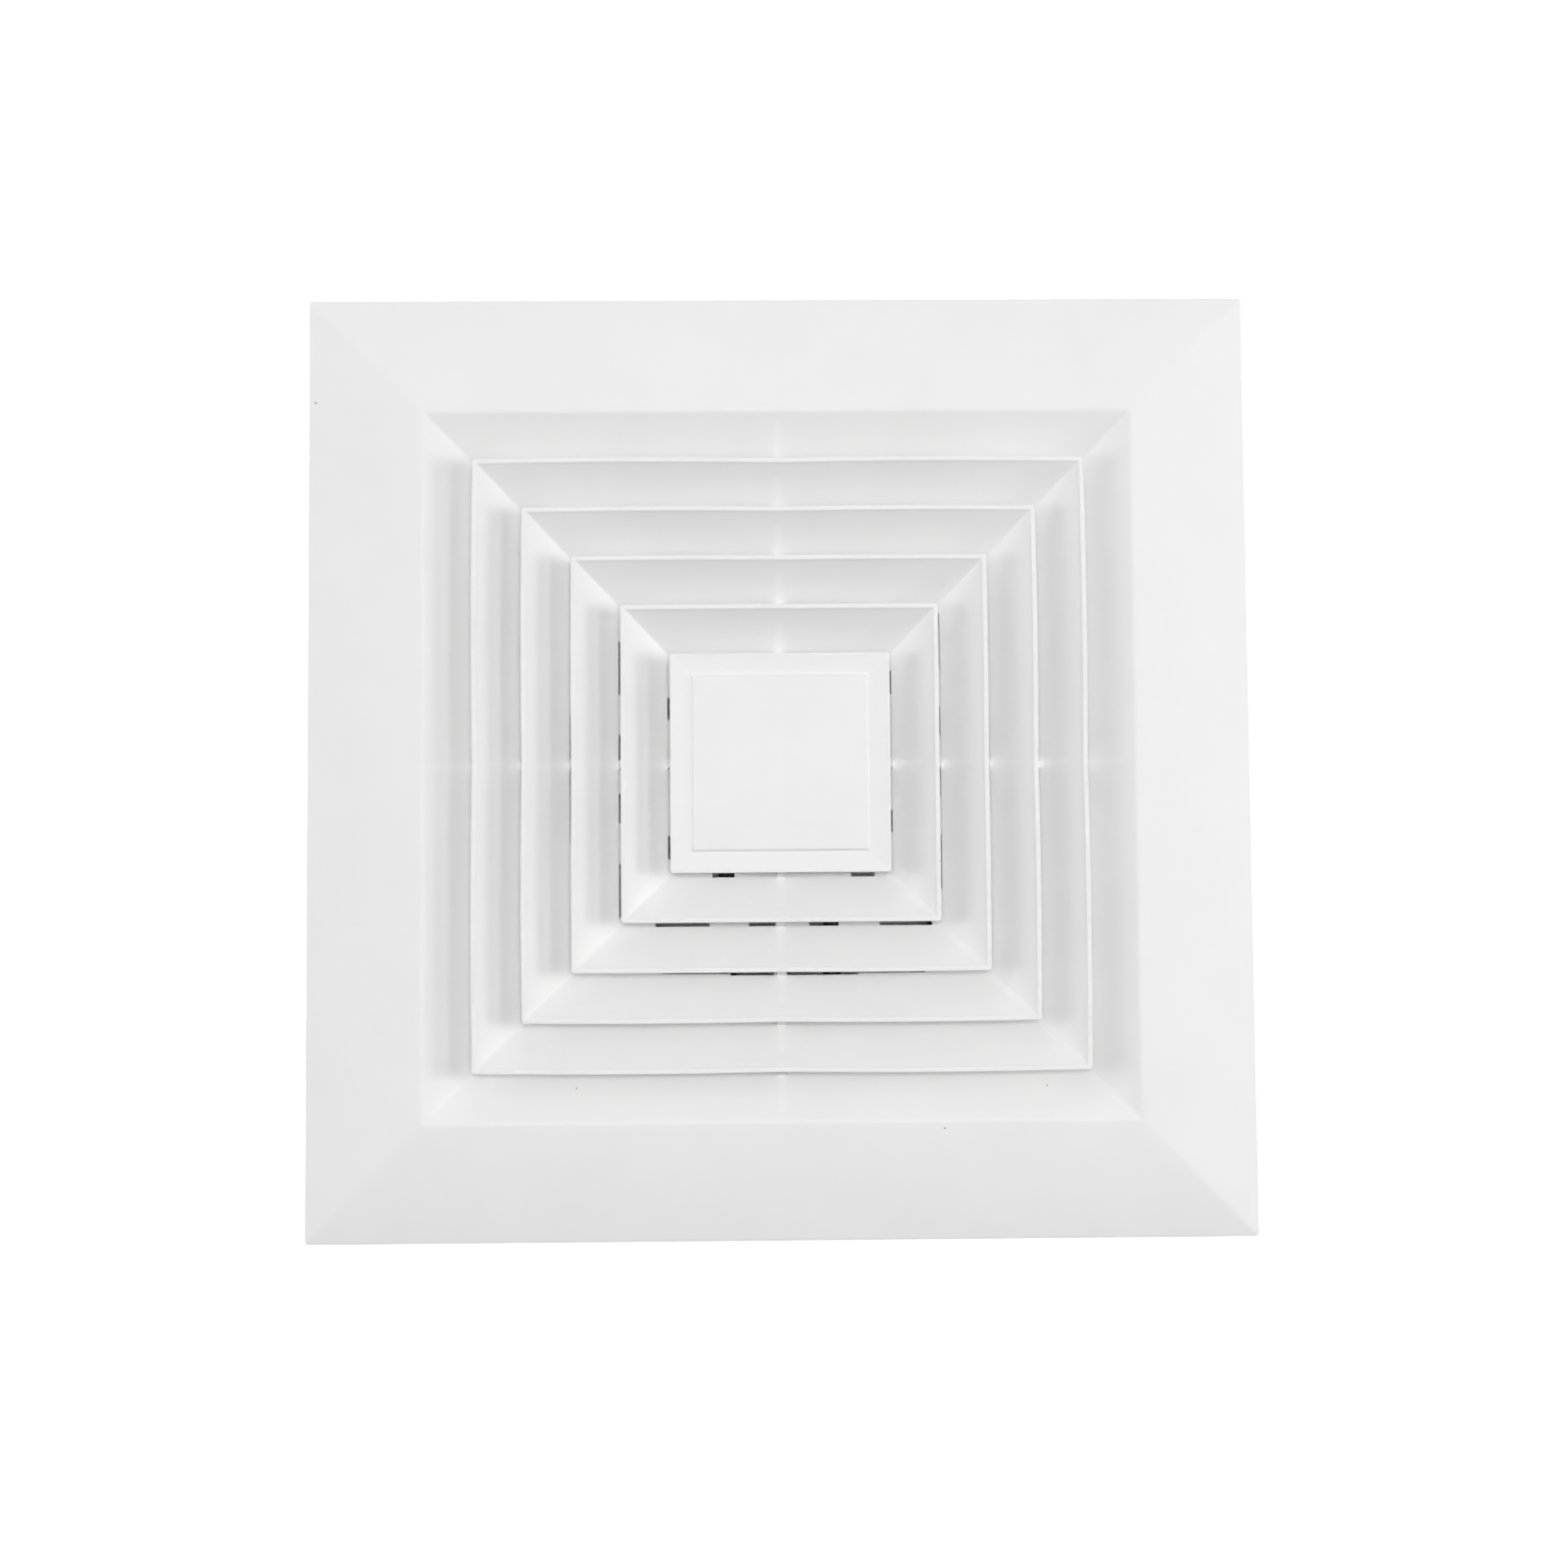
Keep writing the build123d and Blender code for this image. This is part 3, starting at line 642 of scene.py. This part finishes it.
def louvreRing(size, ring):
    lip, throat = lipHalf(ring), throatHalf(ring)
    bow = size["bows"][ring]
    base = lip - size["lipWidth"] - size["lipBevel"]
    corners = flareOutside(size, ring, bow, size["lipRound"])
    for share in (0.2, 0.4, 0.6, 0.8):  # the flare's slight hollow
        sag = size["hollow"] * 4 * share * (1 - share)
        distance = throat + (base - throat) * share
        height = size["throatHeight"] + flareSlope(size) * (distance - throat) - sag
        corners.append((distance, height, 0, 0.4, bow * share))
    corners += [
        (base, lipTop - size["lipStep"], 0.7, 0.35, bow),
        (lip - size["lipWidth"], lipTop, 0.6, 0.3, bow),
    ]
    name = f"louvreRing{ring}"
    side = sideOf(name + "Side", roundedOutline(corners))
    reach, slitReach, floor = size["windowReach"], size["slitReach"], size["pocketFloor"]
    pockets, slits = size["pockets"].get(ring, ()), size["slits"].get(ring, ())
    spans = [(start, end, skirtLow - 1, reach) for start, end in windowSpans(size, ring)]
    spans += [(start, start + width, floor, reach) for start, width in pockets]
    spans += [(start, start + width, floor, slitReach) for start, width in slits]
    cuts = None
    if spans:
        shape = bmesh.new()
        for start, end, low, past in spans:  # places along the front side; the helper is on the right side
            boxInto(shape, (throat - 1, start, low), (lipHalf(ring + 1) + past, end, size["windowTop"]))
        cuts = helperObject(name + "Cuts", meshFrom(name + "Cuts", shape))
    mesh = squareRing(name, side, finishes["white_plastic"], cuts)
    return piece(name, mesh, "core", "white_plastic", f"louvre_ring_{ring}")


for ring in range(1, 5):
    louvreRing(louvreSizes, ring)
print("louvres done")


capSizes = {
    "panel": 36.0, "panelHeight": 12.9, "bevel": 0.8, "bandHeight": 11.9, "lip": 1.1, "plateLow": 10.0,
    "bossRadius": 4.5,
}


def centreCap(size, louvre):
    lip, throat = lipHalf(5), throatHalf(5)
    corners = [(0, size["plateLow"], 0, 0, 0)]
    run = (size["plateLow"] - louvre["throatHeight"]) / flareSlope(louvre)
    corners.append((throat + run, size["plateLow"], 0.5, 0.8, 0))
    corners += reversed(flareOutside(louvre, 5, 0, 0.35))
    corners += [
        (lip - size["lip"], lipTop, 0.3, 0.6, 0),
        (size["panel"] + size["bevel"], size["bandHeight"], 0.4, 0.5, 0),
        (size["panel"], size["panelHeight"], 0.5, 0.6, 0),
        (size["panel"] * 0.6, size["panelHeight"], 0, 0.6, 0),
        (0, size["panelHeight"], 0, 0, 0),
    ]
    side = sideOf("capSide", roundedOutline(corners, closed=False), closed=False)
    boss = bmesh.new()
    hubTop = span("core_hub")[1][2]
    rodInto(boss, (0, 0, (size["plateLow"] + 0.5 + hubTop) / 2), (0, 0, 1), size["bossRadius"],
            size["plateLow"] + 0.5 - hubTop)
    fittings = helperObject("capBoss", meshFrom("capBoss", boss))
    sizes = {"Turns": 4, "Merge": 0.000004, "Finish": finishes["white_plastic"], "Fittings": fittings}
    tree = ringTree("centreCapTree", False, True, sizes)
    mesh = bake("centreCap", side, tree, sizes)
    return piece("centreCap", mesh, "core", "white_plastic", "centre_cap")


centreCap(capSizes, louvreSizes)
print("centre cap done")

casingSizes = {
    "bend": 2.0, "innerBend": 0.6, "wall": 1.5, "flange": 6.0, "bushHole": 8.0, "axisHeight": -58.0,
    "bladeMargin": 5.5, "blades": 6,
}


def sheetTree(name, withCuts, sizes):
    # A bent sheet in, its turned copies out, its holes cut.
    tree, start, end = newTree(name, sizes)
    solid = start.outputs["Geometry"]
    if withCuts:
        solid = cutFrom(tree, solid, objectIn(tree, start, "Cuts"))
    copies = turnedAbout(tree, solid, start.outputs["Turns"], start.outputs["First Angle"])
    return endTree(tree, copies, start, end)


def prismInto(shape, loops):
    # loops: closed rows of points, joined one to the next, the first and last filled.
    rows = [[shape.verts.new(Vector(point) * mm) for point in loop] for loop in loops]
    count = len(rows[0])
    for near, far in zip(rows, rows[1:]):
        for index in range(count):
            following = (index + 1) % count
            shape.faces.new((near[index], near[following], far[following], far[index]))
    shape.faces.new(list(reversed(rows[0])))
    shape.faces.new(rows[-1])


def bladeAxes(size):
    inner = span("casing_side_right")[1][0] - size["wall"]
    pitch = 2 * (inner - size["bladeMargin"]) / size["blades"]
    return [pitch * (number - (size["blades"] - 1) / 2) for number in range(size["blades"])]


def casingSide(name, size, half, flangeHalf, firstAngle, nodes, holes):
    low, high = span("casing_side_right")
    outer, inner = high[0], high[0] - size["wall"]
    edge = 0.15
    outline = [(distance, height) for distance, height, radius, bow in roundedOutline([
        (outer, high[2], 0.3, 0, 0),
        (outer, low[2], size["bend"], 0, 0),
        (inner - size["flange"], low[2], 0.3, 0, 0),
        (inner - size["flange"], low[2] + size["wall"], 0.3, 0, 0),
        (inner, low[2] + size["wall"], size["innerBend"], 0, 0),
        (inner, high[2], 0.3, 0, 0),
    ])]

    def loop(sign, inset):
        return [(distance, sign * ((half if distance > inner - 0.7 else flangeHalf) - inset), height)
                for distance, height in outline]

    shape = bmesh.new()
    prismInto(shape, [loop(-1, 0), loop(-1, edge), loop(1, edge), loop(1, 0)])
    host = helperObject(name + "Side", meshFrom(name + "Side", shape))
    sizes = {"Turns": 2, "First Angle": firstAngle, "Finish": finishes["black_sheet"]}
    if holes:
        cuts = bmesh.new()
        for along in holes:
            middle = (inner + size["wall"] / 2, along, size["axisHeight"])
            rodInto(cuts, middle, (1, 0, 0), size["bushHole"] / 2, 4, 40)
        sizes["Cuts"] = helperObject(name + "Cuts", meshFrom(name + "Cuts", cuts))
    mesh = bake(name, host, sheetTree(name + "Tree", bool(holes), sizes), sizes)
    return piece(name, mesh, "frame", "black_sheet", *nodes)


casingOuter = span("casing_side_right")[1][0]
casingInner = casingOuter - casingSizes["wall"]
casingSide("casingLong", casingSizes, casingOuter, casingInner, 0.0,
           ("casing_side_right", "casing_side_left"), [])
casingSide("casingShort", casingSizes, casingInner, casingInner - casingSizes["flange"], math.pi / 2,
           ("casing_side_back", "casing_side_front"), bladeAxes(casingSizes))

bracketSizes = {"leg": 18.0, "wall": 1.2, "bend": 1.6}


def cornerBrackets(size):
    low, high = span("corner_brackets")
    outer = high[0]
    inner = outer - size["wall"]
    tip = inner - size["leg"]
    outline = [(x, y) for x, y, radius, bow in roundedOutline([
        (outer, outer, size["bend"], 0, 0), (tip, outer, 0.3, 0, 0), (tip, inner, 0.3, 0, 0),
        (inner, inner, 0.4, 0, 0), (inner, tip, 0.3, 0, 0), (outer, tip, 0.3, 0, 0),
    ])]
    shape = bmesh.new()
    heights = (low[2], low[2] + 0.2, high[2] - 0.2, high[2])
    prismInto(shape, [[(x, y, height) for x, y in outline] for height in heights])
    host = helperObject("bracketSide", meshFrom("bracketSide", shape))
    sizes = {"Turns": 4, "First Angle": 0.0, "Finish": finishes["black_sheet"]}
    mesh = bake("cornerBrackets", host, sheetTree("bracketTree", False, sizes), sizes)
    return piece("cornerBrackets", mesh, "frame", "black_sheet", "corner_brackets")


cornerBrackets(bracketSizes)
print("casing done")

# damper blades
bladeSizes = {
    "thick": 2.0, "tube": 4.0, "nose": 1.6, "groove": 0.3, "grooveHalf": 0.8, "grooves": (9.5, 13.0, 16.5),
    "tongue": 12.0, "tongueDepth": 2.0, "gearGap": 0.4, "sharpAngle": 15,
}


def bladeTree(sizes):
    # One blade in, moved to its own axis.
    tree, start, end = newTree("bladeTree", sizes)
    place = tree.nodes.new("ShaderNodeCombineXYZ")
    tree.links.new(start.outputs["Axis"], place.inputs[0])
    moved = wired(tree, "GeometryNodeTransform", Geometry=start.outputs["Geometry"],
                  Translation=place.outputs[0])
    return endTree(tree, moved.outputs[0], start, end)


def damperBlades(size):
    low, high = span("damper_blade_1")
    axis = casingSizes["axisHeight"]
    chord = (high[2] - low[2]) / 2
    half = size["thick"] / 2
    quarter = [(chord - size["nose"], half)]
    lip = size["grooveHalf"]
    for middle in reversed(size["grooves"]):
        quarter += [(middle + lip, half), (middle, half - size["groove"]), (middle - lip, half)]
    root = math.sqrt(size["tube"] ** 2 - half ** 2)
    quarter.append((root + 0.5, half))
    arc = [math.radians(10 * step) for step in range(2, 9)]
    tubeArc = [(size["tube"] * math.cos(angle), size["tube"] * math.sin(angle)) for angle in arc]
    quarter += [(root + 0.1, half + 0.12)] + tubeArc[1:] + [(0.0, size["tube"])]
    tip = [(chord, 0.0), (chord - 0.15, half * 0.55), (chord - 0.6, half * 0.9)]
    upper = tip + quarter
    right = upper + [(-along, across) for along, across in reversed(upper[1:-1])]
    outline = right + [(-chord, 0.0)] + [(-along, -across) for along, across in upper[1:]]
    outline += [(along, -across) for along, across in reversed(upper[1:-1])]
    front = low[1]
    back = high[1] - size["tongueDepth"] - size["gearGap"]  # clear of the neighbours' gears
    shape = bmesh.new()
    rows = [(front, 0.94), (front + 0.3, 1.0), (back, 1.0)]
    prismInto(shape, [[(across * share, place, along + axis) for along, across in outline]
                      for place, share in rows])
    boxInto(shape, (-half, back, axis - size["tongue"]), (half, high[1], axis + size["tongue"]))
    host = helperObject("bladeSide", meshFrom("bladeSide", shape, size["sharpAngle"]))
    sizes = {"Axis": 0.0, "Finish": finishes["black_plastic"]}
    tree = bladeTree(sizes)
    for number, place in enumerate(bladeAxes(casingSizes), start=1):
        sizes["Axis"] = place * mm
        mesh = bake(f"damperBlade{number}", host, tree, sizes, size["sharpAngle"])
        piece(f"damperBlade{number}", mesh, f"blade_{number}", "black_plastic", f"damper_blade_{number}")


damperBlades(bladeSizes)
print("damper blades done")

# screws and rivets
fastenerSizes = {
    "neckHead": (3.5, 1.8), "neckShank": (1.9, 5.5), "threadPitch": 0.7, "thread": 0.22,
    "rivetHead": (3.0, 1.2), "rivetTail": (2.5, 0.8), "rivetHeights": (-54.5, -79.0), "rivetInset": 9.0,
    "seed": 7,
}


def latheInto(shape, outline, sides=28):
    # outline: (place along +X, radius); the ends close on the axis.
    rows = []
    for along, radius in outline:
        if radius == 0:
            rows.append([shape.verts.new((along * mm, 0, 0))])
            continue
        ring = [2 * math.pi * side / sides for side in range(sides)]
        rows.append([
            shape.verts.new((along * mm, radius * math.cos(angle) * mm, radius * math.sin(angle) * mm))
            for angle in ring])
    for near, far in zip(rows, rows[1:]):
        for index in range(sides):
            following = (index + 1) % sides
            face = [near[index % len(near)], near[following % len(near)]]
            face += [far[following % len(far)], far[index % len(far)]]
            face = list(dict.fromkeys(face))
            if len(face) > 2:
                shape.faces.new(face)


def screwMesh(name, size):
    # A domed head whose seat is at the origin, and a threaded shank behind it.
    radius, height = size["neckHead"]
    crest, length = size["neckShank"]
    root, tip = crest * 0.8, crest * 0.55
    dome = [(0.985, 0.35), (0.90, 0.62), (0.70, 0.84), (0.42, 0.96)]
    shape = bmesh.new()
    outline = [(height, 0)] + [(height * up, radius * out) for up, out in dome]
    outline += [(0.25, radius), (0.0, radius * 0.97), (0.0, root)]
    turns = int(length / size["threadPitch"])
    for turn in range(turns):
        start = -length * (turn + 0.4) / (turns + 1)
        outline += [(start, root), (start - size["thread"], crest), (start - 2 * size["thread"], root)]
    outline += [(-length, tip), (-length - 0.01, 0)]
    latheInto(shape, outline)
    return helperObject(name + "Side", meshFrom(name + "Side", shape))


def recessMesh(name, head):
    # A cross of two wedges, narrow at the bottom of the recess.
    radius, height = head
    thin, wide = 0.42, radius * 0.56
    shape = bmesh.new()
    for across, along in ((thin, wide), (wide, thin)):
        made = bmesh.ops.create_cube(shape, size=2)["verts"]
        for vertex in made:
            narrow, depth = (1.0, 1.3) if vertex.co.x > 0 else (0.45, 0.35)
            vertex.co = Vector((height * depth, vertex.co.y * across * narrow,
                                vertex.co.z * along * narrow)) * mm
    return helperObject(name + "Cuts", meshFrom(name + "Cuts", shape))


def fastenerTree(name, withRecess, sizes):
    # Points in; a fastener on each, and the whole row turned round the square.
    tree, start, end = newTree(name, sizes)
    solid = objectIn(tree, start, "Fastener")
    if withRecess:
        solid = cutFrom(tree, solid, objectIn(tree, start, "Recess"), selfTouching=True)
    placed = tree.nodes.new("GeometryNodeInstanceOnPoints")
    tree.links.new(start.outputs["Geometry"], placed.inputs["Points"])
    tree.links.new(solid, placed.inputs["Instance"])
    spin = tree.nodes.new("FunctionNodeRandomValue")
    spin.data_type = "FLOAT"
    spin.inputs["Max"].default_value = 1.5
    tree.links.new(start.outputs["Seed"], spin.inputs["Seed"])
    angle = tree.nodes.new("ShaderNodeCombineXYZ")
    tree.links.new(spin.outputs[1], angle.inputs[0])
    tree.links.new(angle.outputs[0], placed.inputs["Rotation"])
    row = wired(tree, "GeometryNodeRealizeInstances", Geometry=placed.outputs[0])
    copies = turnedAbout(tree, row.outputs[0], start.outputs["Turns"])
    return endTree(tree, copies, start, end)


def fasteners(name, places, fastener, recess, finish, node):
    mesh = bpy.data.meshes.new(name + "Side")
    mesh.from_pydata([Vector(place) * mm for place in places], [], [])
    host = helperObject(name + "PointsSide", mesh)
    sizes = {"Turns": 4, "Seed": fastenerSizes["seed"], "Finish": finishes[finish], "Fastener": fastener}
    if recess:
        sizes["Recess"] = recess
    made = bake(name, host, fastenerTree(name + "Tree", bool(recess), sizes), sizes)
    return piece(name, made, "frame", finish, node)


def neckScrews(size):
    neckOuter = lipHalf(0) - frameSizes["overhang"]
    spread = frameSizes["screwSpread"] / 2
    places = [(neckOuter, sign * spread, frameSizes["screwHeight"]) for sign in (-1, 1)]
    screw = screwMesh("neckScrew", size)
    recess = recessMesh("neckScrew", size["neckHead"])
    fasteners("neckScrews", places, screw, recess, "screw_steel", "neck_screws")


def bracketRivets(size):
    headRadius, headHeight = size["rivetHead"]
    tailRadius, tailHeight = size["rivetTail"]
    shank = 1.6
    grip = bracketSizes["wall"] + casingSizes["wall"]
    shape = bmesh.new()
    latheInto(shape, [
        (headHeight * 0.55, 0), (headHeight * 0.6, 0.75), (headHeight, 0.85),
        (headHeight * 0.92, headRadius * 0.55), (headHeight * 0.6, headRadius * 0.85),
        (0.15, headRadius), (0.0, headRadius * 0.97), (0.0, shank),
        (-grip, shank), (-grip, tailRadius * 0.9), (-grip - tailHeight * 0.5, tailRadius),
        (-grip - tailHeight, tailRadius * 0.7), (-grip - tailHeight, 0),
    ])
    rivet = helperObject("rivetSide", meshFrom("rivetSide", shape))
    along = casingOuter - size["rivetInset"]
    places = [(casingOuter + bracketSizes["wall"], sign * along, height)
              for sign in (-1, 1) for height in size["rivetHeights"]]
    fasteners("bracketRivets", places, rivet, None, "rivet_metal", "bracket_rivets")


neckScrews(fastenerSizes)
bracketRivets(fastenerSizes)
print("fasteners done")

for part in frame["record"]["subparts"]:
    mesh = frame["nodes"][part["node"]].data
    mesh.materials.clear()
    mesh.materials.append(finishes[part["material_slot"]])
print("carried-over nodes painted")


studio = {
    "focal": 54.0, "turn": (-3.631, 0.809, 0.431), "shift": (-1.72, 8.16, 987.79),
    "floorWhite": (0.93, 0.93, 0.93, 1), "floorShade": (0.915, 0.915, 0.915, 1), "floorHalf": 6.0,
    "floorGap": 0.0002, "floorGlow": 0.4, "farGlow": 1.0, "unlitHalf": 0.135, "world": 1.0,
    # name: azimuth, elevation, distance, size, power
    "lights": {
        "rightLow": (0, 15, 1.8, 0.5, 8.6), "rightHigh": (0, 42, 1.8, 0.5, 4.7),
        "leftLow": (180, 15, 1.8, 0.5, 4.3), "leftMiddle": (180, 28, 1.8, 0.5, 2.9),
        "backLow": (90, 15, 1.8, 0.5, 2.9), "backHigh": (90, 65, 1.8, 0.5, 1.1),
        "backRight": (45, 35, 1.8, 0.6, 1.3), "backLeft": (135, 35, 1.8, 0.6, 3.0),
        "overhead": (270, 89.9, 2.2, 0.6, 28.3), "front": (270, 30, 1.8, 0.6, 0.5),
    },
}


def softBox(name, azimuth, elevation, distance, size, power):
    light = bpy.data.lights.new(name, "AREA")
    light.shape = "SQUARE"
    light.size = size
    light.energy = power
    made = bpy.data.objects.new(name, light)
    a, e = math.radians(azimuth), math.radians(elevation)
    place = Vector((math.cos(a) * math.cos(e), math.sin(a) * math.cos(e), math.sin(e))) * distance
    made.location = place
    made.rotation_euler = place.to_track_quat("Z", "Y").to_euler()
    bpy.context.scene.collection.objects.link(made)


def paleFloor(studio):
    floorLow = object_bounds()[0].z - studio["floorGap"]
    shape = bmesh.new()
    bmesh.ops.create_grid(shape, x_segments=2, y_segments=2, size=studio["floorHalf"])
    bmesh.ops.translate(shape, verts=shape.verts, vec=(0, 0, floorLow))
    mesh = bpy.data.meshes.new("floor")
    shape.to_mesh(mesh)
    shape.free()
    floor = bpy.data.objects.new("floor", mesh)
    bpy.context.scene.collection.objects.link(floor)
    floor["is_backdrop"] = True
    finish = Finish("paleFloor", Roughness=0.8, Specular_IOR_Level=0.1, Emission_Strength=1.0)
    x, y = finish.axes()[:2]
    under = (abs(x) < studio["unlitHalf"]) * (abs(y) < studio["unlitHalf"])
    away = finish.node("ShaderNodeVectorMath", {"operation": "LENGTH"}, {0: finish.place}, "Value")
    glow = finish.ramp(away * 0.25, (0.12, studio["floorGlow"]), (0.6, studio["farGlow"]))
    finish.feed("Emission Color", finish.mix(under, glow, (0, 0, 0, 1)))  # a lit table, dark in the casing
    finish.feed("Base Color", finish.mix(finish.noise(6, 2), studio["floorWhite"], studio["floorShade"]))
    mesh.materials.append(finish.material)


def paleSurround(strength):
    world = bpy.data.worlds.new("studioWorld")
    world.use_nodes = True
    background = world.node_tree.nodes["Background"]
    background.inputs[0].default_value = (1, 1, 1, 1)
    background.inputs[1].default_value = strength
    bpy.context.scene.world = world
    world.cycles_visibility.diffuse = False  # it adds no light of its own


def setCamera(studio):
    data = bpy.data.cameras.new("camera")
    data.lens = studio["focal"]
    data.sensor_width = 36
    data.clip_start = 0.05
    data.clip_end = 50
    camera = bpy.data.objects.new("camera", data)
    tiltX, tiltY, tiltZ = [math.radians(value) for value in studio["turn"]]
    turn = Matrix.Rotation(tiltZ, 3, "Z") @ Matrix.Rotation(tiltX, 3, "X") @ Matrix.Rotation(tiltY, 3, "Y")
    x, y, distance = studio["shift"]
    place = turn.transposed() @ (Vector((-x, -y, distance)) * mm)
    camera.matrix_world = Matrix.Translation(place) @ turn.transposed().to_4x4()
    bpy.context.scene.collection.objects.link(camera)
    bpy.context.scene.camera = camera


def setStudio(studio):
    paleFloor(studio)
    paleSurround(studio["world"])
    for name, values in studio["lights"].items():
        softBox(name, *values)
    settings = bpy.context.scene.view_settings
    settings.view_transform = "Standard"
    settings.look = "None"
    settings.exposure = 0
    setCamera(studio)


for helper in helpers:
    bpy.data.objects.remove(helper)
setStudio(studio)
print("studio ready")
